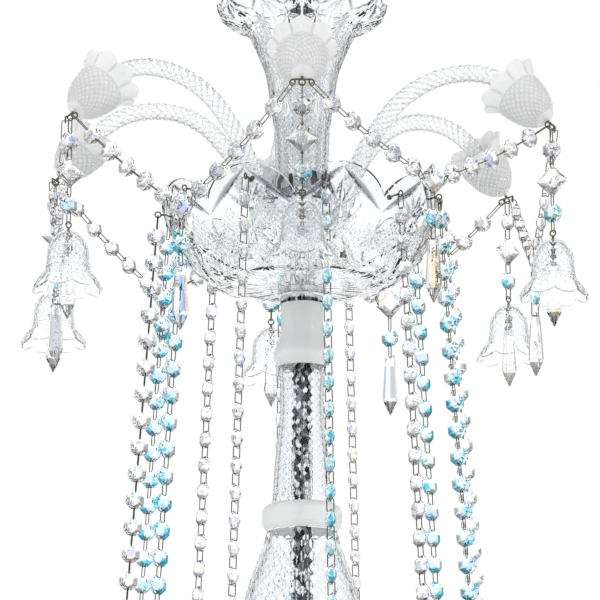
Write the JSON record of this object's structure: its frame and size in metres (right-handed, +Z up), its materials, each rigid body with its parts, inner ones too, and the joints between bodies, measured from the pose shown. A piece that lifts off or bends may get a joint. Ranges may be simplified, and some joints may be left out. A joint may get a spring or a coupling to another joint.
{
  "type": "icicle hanging ornament",
  "caption": "Hanging crystal ornament: cut-glass bowl and baluster stem, rope-twist arms with frosted tulips, bell pendants, icicle drops and long bead chains",
  "frame": {"origin": "centre of the hanging eye's bore, at the top of the stem", "axes": "+Z up along the stem; -Y is the front, where arm 1 points; +X right"},
  "size_m": [0.5676, 0.6096, 0.87],
  "materials": {
    "cut_glass": "clear glass, diamond and fan cuts",
    "frosted_glass": "acid-frosted glass",
    "clear_crystal": "clear faceted crystal",
    "blue_crystal": "aqua faceted crystal",
    "chrome": "polished chrome plate",
    "nickel_wire": "dull nickel-plated steel wire"
  },
  "bodies": {
    "stem_assembly": {"hanging_eye": "chrome", "stem_tube": "chrome", "stem_nuts": "chrome", "trumpet_vase": "cut_glass", "trumpet_cup": "chrome", "cut_bowl": "cut_glass", "arm_hub": "chrome", "bowl_collar": "chrome", "frosted_neck": "frosted_glass", "neck_vase": "cut_glass", "frosted_ring": "frosted_glass", "vase_body": "cut_glass", "vase_cap": "chrome", "finial": "cut_glass", "rope_arms": "cut_glass", "tulip_cups": "frosted_glass", "rim_hooks": "nickel_wire", "tulip_hooks": "nickel_wire"},
    "pendant_1": {"hanger_1": "clear_crystal"},
    "bell_body_1": {"bell_1": "cut_glass"},
    "clapper_1": {"bell_icicle_1": "clear_crystal"},
    "garland_body_1": {"garland_1": "clear_crystal"},
    "drop_1": {"garland_drop_1": "clear_crystal"},
    "pendant_2": {"hanger_2": "clear_crystal"},
    "bell_body_2": {"bell_2": "cut_glass"},
    "clapper_2": {"bell_icicle_2": "clear_crystal"},
    "garland_body_2": {"garland_2": "clear_crystal"},
    "drop_2": {"garland_drop_2": "clear_crystal"},
    "pendant_3": {"hanger_3": "clear_crystal"},
    "bell_body_3": {"bell_3": "cut_glass"},
    "clapper_3": {"bell_icicle_3": "clear_crystal"},
    "garland_body_3": {"garland_3": "clear_crystal"},
    "drop_3": {"garland_drop_3": "clear_crystal"},
    "pendant_4": {"hanger_4": "clear_crystal"},
    "bell_body_4": {"bell_4": "cut_glass"},
    "clapper_4": {"bell_icicle_4": "clear_crystal"},
    "garland_body_4": {"garland_4": "clear_crystal"},
    "drop_4": {"garland_drop_4": "clear_crystal"},
    "pendant_5": {"hanger_5": "clear_crystal"},
    "bell_body_5": {"bell_5": "cut_glass"},
    "clapper_5": {"bell_icicle_5": "clear_crystal"},
    "garland_body_5": {"garland_5": "clear_crystal"},
    "drop_5": {"garland_drop_5": "clear_crystal"},
    "pendant_6": {"hanger_6": "clear_crystal"},
    "bell_body_6": {"bell_6": "cut_glass"},
    "clapper_6": {"bell_icicle_6": "clear_crystal"},
    "garland_body_6": {"garland_6": "clear_crystal"},
    "drop_6": {"garland_drop_6": "clear_crystal"},
    "chain_1": {"bead_chain_1": "blue_crystal"},
    "chain_2": {"bead_chain_2": "clear_crystal"},
    "chain_3": {"bead_chain_3": "blue_crystal"},
    "chain_4": {"bead_chain_4": "clear_crystal"},
    "chain_5": {"bead_chain_5": "blue_crystal"},
    "chain_6": {"bead_chain_6": "clear_crystal"},
    "chain_7": {"bead_chain_7": "blue_crystal"},
    "chain_8": {"bead_chain_8": "clear_crystal"},
    "chain_9": {"bead_chain_9": "blue_crystal"},
    "chain_10": {"bead_chain_10": "clear_crystal"},
    "chain_11": {"bead_chain_11": "blue_crystal"},
    "chain_12": {"bead_chain_12": "clear_crystal"}
  },
  "joints": [
    {"name": "pendant_1_swing", "type": "hinge", "parent": "stem_assembly", "child": "pendant_1", "pos_m": [0, -0.271, -0.241], "axis": [0, -1, 0], "range_deg": [-10, 10]},
    {"name": "bell_1_swing", "type": "hinge", "parent": "pendant_1", "child": "bell_body_1", "pos_m": [0, -0.271, -0.346], "axis": [0, -1, 0], "range_deg": [-8, 8]},
    {"name": "icicle_1_swing", "type": "hinge", "parent": "bell_body_1", "child": "clapper_1", "pos_m": [0, -0.271, -0.369], "axis": [0, -1, 0], "range_deg": [-8, 8]},
    {"name": "garland_1_swing", "type": "hinge", "parent": "stem_assembly", "child": "garland_body_1", "pos_m": [0.12431, -0.19894, -0.241], "axis": [0.848, 0.5299, 0], "range_deg": [-8, 8]},
    {"name": "drop_1_swing", "type": "hinge", "parent": "garland_body_1", "child": "drop_1", "pos_m": [0.12431, -0.19894, -0.32726], "axis": [-0.5299, 0.848, 0], "range_deg": [-10, 10]},
    {"name": "pendant_2_swing", "type": "hinge", "parent": "stem_assembly", "child": "pendant_2", "pos_m": [0.24357, -0.1188, -0.241], "axis": [0.4384, 0.8988, 0], "range_deg": [-10, 10]},
    {"name": "bell_2_swing", "type": "hinge", "parent": "pendant_2", "child": "bell_body_2", "pos_m": [0.24357, -0.1188, -0.346], "axis": [0.4384, 0.8988, 0], "range_deg": [-8, 8]},
    {"name": "icicle_2_swing", "type": "hinge", "parent": "bell_body_2", "child": "clapper_2", "pos_m": [0.24357, -0.1188, -0.369], "axis": [0.4384, 0.8988, 0], "range_deg": [-8, 8]},
    {"name": "garland_2_swing", "type": "hinge", "parent": "stem_assembly", "child": "garland_body_2", "pos_m": [0.23468, 0.0226, -0.241], "axis": [-0.0958, 0.9954, 0], "range_deg": [-8, 8]},
    {"name": "drop_2_swing", "type": "hinge", "parent": "garland_body_2", "child": "drop_2", "pos_m": [0.23468, 0.0226, -0.35126], "axis": [-0.9954, -0.0958, 0], "range_deg": [-10, 10]},
    {"name": "pendant_3_swing", "type": "hinge", "parent": "stem_assembly", "child": "pendant_3", "pos_m": [0.21643, 0.16309, -0.241], "axis": [-0.6018, 0.7986, 0], "range_deg": [-10, 10]},
    {"name": "bell_3_swing", "type": "hinge", "parent": "pendant_3", "child": "bell_body_3", "pos_m": [0.21643, 0.16309, -0.346], "axis": [-0.6018, 0.7986, 0], "range_deg": [-8, 8]},
    {"name": "icicle_3_swing", "type": "hinge", "parent": "bell_body_3", "child": "clapper_3", "pos_m": [0.21643, 0.16309, -0.369], "axis": [-0.6018, 0.7986, 0], "range_deg": [-8, 8]},
    {"name": "garland_3_swing", "type": "hinge", "parent": "stem_assembly", "child": "garland_body_3", "pos_m": [0.09346, 0.22018, -0.241], "axis": [-0.9205, 0.3907, 0], "range_deg": [-8, 8]},
    {"name": "drop_3_swing", "type": "hinge", "parent": "garland_body_3", "child": "drop_3", "pos_m": [0.09346, 0.22018, -0.35126], "axis": [-0.3907, -0.9205, 0], "range_deg": [-10, 10]},
    {"name": "pendant_4_swing", "type": "hinge", "parent": "stem_assembly", "child": "pendant_4", "pos_m": [-0.03303, 0.26898, -0.241], "axis": [-0.1219, 0.9925, 0], "range_deg": [-10, 10]},
    {"name": "bell_4_swing", "type": "hinge", "parent": "pendant_4", "child": "bell_body_4", "pos_m": [-0.03303, 0.26898, -0.346], "axis": [-0.1219, 0.9925, 0], "range_deg": [-8, 8]},
    {"name": "icicle_4_swing", "type": "hinge", "parent": "bell_body_4", "child": "clapper_4", "pos_m": [-0.03303, 0.26898, -0.369], "axis": [-0.1219, 0.9925, 0], "range_deg": [-8, 8]},
    {"name": "garland_4_swing", "type": "hinge", "parent": "stem_assembly", "child": "garland_body_4", "pos_m": [-0.14677, 0.18451, -0.241], "axis": [-0.7826, -0.6225, 0], "range_deg": [-8, 8]},
    {"name": "drop_4_swing", "type": "hinge", "parent": "garland_body_4", "child": "drop_4", "pos_m": [-0.14677, 0.18451, -0.35126], "axis": [0.6225, -0.7826, 0], "range_deg": [-10, 10]},
    {"name": "pendant_5_swing", "type": "hinge", "parent": "stem_assembly", "child": "pendant_5", "pos_m": [-0.25466, 0.09269, -0.241], "axis": [-0.342, -0.9397, 0], "range_deg": [-10, 10]},
    {"name": "bell_5_swing", "type": "hinge", "parent": "pendant_5", "child": "bell_body_5", "pos_m": [-0.25466, 0.09269, -0.346], "axis": [-0.342, -0.9397, 0], "range_deg": [-8, 8]},
    {"name": "icicle_5_swing", "type": "hinge", "parent": "bell_body_5", "child": "clapper_5", "pos_m": [-0.25466, 0.09269, -0.369], "axis": [-0.342, -0.9397, 0], "range_deg": [-8, 8]},
    {"name": "garland_5_swing", "type": "hinge", "parent": "stem_assembly", "child": "garland_body_5", "pos_m": [-0.24372, -0.02993, -0.241], "axis": [0.1219, -0.9925, 0], "range_deg": [-8, 8]},
    {"name": "drop_5_swing", "type": "hinge", "parent": "garland_body_5", "child": "drop_5", "pos_m": [-0.24372, -0.02993, -0.35126], "axis": [0.9925, 0.1219, 0], "range_deg": [-10, 10]},
    {"name": "pendant_6_swing", "type": "hinge", "parent": "stem_assembly", "child": "pendant_6", "pos_m": [-0.22467, -0.15154, -0.241], "axis": [0.5592, -0.829, 0], "range_deg": [-10, 10]},
    {"name": "bell_6_swing", "type": "hinge", "parent": "pendant_6", "child": "bell_body_6", "pos_m": [-0.22467, -0.15154, -0.346], "axis": [0.5592, -0.829, 0], "range_deg": [-8, 8]},
    {"name": "icicle_6_swing", "type": "hinge", "parent": "bell_body_6", "child": "clapper_6", "pos_m": [-0.22467, -0.15154, -0.369], "axis": [0.5592, -0.829, 0], "range_deg": [-8, 8]},
    {"name": "garland_6_swing", "type": "hinge", "parent": "stem_assembly", "child": "garland_body_6", "pos_m": [-0.11432, -0.215, -0.241], "axis": [0.8829, -0.4695, 0], "range_deg": [-8, 8]},
    {"name": "drop_6_swing", "type": "hinge", "parent": "garland_body_6", "child": "drop_6", "pos_m": [-0.11432, -0.215, -0.35726], "axis": [0.4695, 0.8829, 0], "range_deg": [-10, 10]},
    {"name": "chain_1_swing", "type": "hinge", "parent": "stem_assembly", "child": "chain_1", "pos_m": [0.02292, -0.1447, -0.295], "axis": [0.9877, 0.1564, 0], "range_deg": [-1.5, 5]},
    {"name": "chain_2_swing", "type": "hinge", "parent": "stem_assembly", "child": "chain_2", "pos_m": [0.09611, -0.11056, -0.306], "axis": [0.7547, 0.6561, 0], "range_deg": [-1.5, 5]},
    {"name": "chain_3_swing", "type": "hinge", "parent": "stem_assembly", "child": "chain_3", "pos_m": [0.13583, -0.05488, -0.295], "axis": [0.3746, 0.9272, 0], "range_deg": [-1.5, 5]},
    {"name": "chain_4_swing", "type": "hinge", "parent": "stem_assembly", "child": "chain_4", "pos_m": [0.14507, 0.02039, -0.295], "axis": [-0.1392, 0.9903, 0], "range_deg": [-1.5, 5]},
    {"name": "chain_5_swing", "type": "hinge", "parent": "stem_assembly", "child": "chain_5", "pos_m": [0.11544, 0.09019, -0.295], "axis": [-0.6157, 0.788, 0], "range_deg": [-1.5, 5]},
    {"name": "chain_6_swing", "type": "hinge", "parent": "stem_assembly", "child": "chain_6", "pos_m": [0.0477, 0.13852, -0.306], "axis": [-0.9455, 0.3256, 0], "range_deg": [-1.5, 5]},
    {"name": "chain_7_swing", "type": "hinge", "parent": "stem_assembly", "child": "chain_7", "pos_m": [-0.02039, 0.14507, -0.295], "axis": [-0.9903, -0.1392, 0], "range_deg": [-1.5, 5]},
    {"name": "chain_8_swing", "type": "hinge", "parent": "stem_assembly", "child": "chain_8", "pos_m": [-0.09019, 0.11544, -0.295], "axis": [-0.788, -0.6157, 0], "range_deg": [-1.5, 5]},
    {"name": "chain_9_swing", "type": "hinge", "parent": "stem_assembly", "child": "chain_9", "pos_m": [-0.13583, 0.05488, -0.295], "axis": [-0.3746, -0.9272, 0], "range_deg": [-1.5, 5]},
    {"name": "chain_10_swing", "type": "hinge", "parent": "stem_assembly", "child": "chain_10", "pos_m": [-0.14381, -0.02795, -0.306], "axis": [0.1908, -0.9816, 0], "range_deg": [-1.5, 5]},
    {"name": "chain_11_swing", "type": "hinge", "parent": "stem_assembly", "child": "chain_11", "pos_m": [-0.11544, -0.09019, -0.295], "axis": [0.6157, -0.788, 0], "range_deg": [-1.5, 5]},
    {"name": "chain_12_swing", "type": "hinge", "parent": "stem_assembly", "child": "chain_12", "pos_m": [-0.05488, -0.13583, -0.295], "axis": [0.9272, -0.3746, 0], "range_deg": [-1.5, 5]}
  ]
}
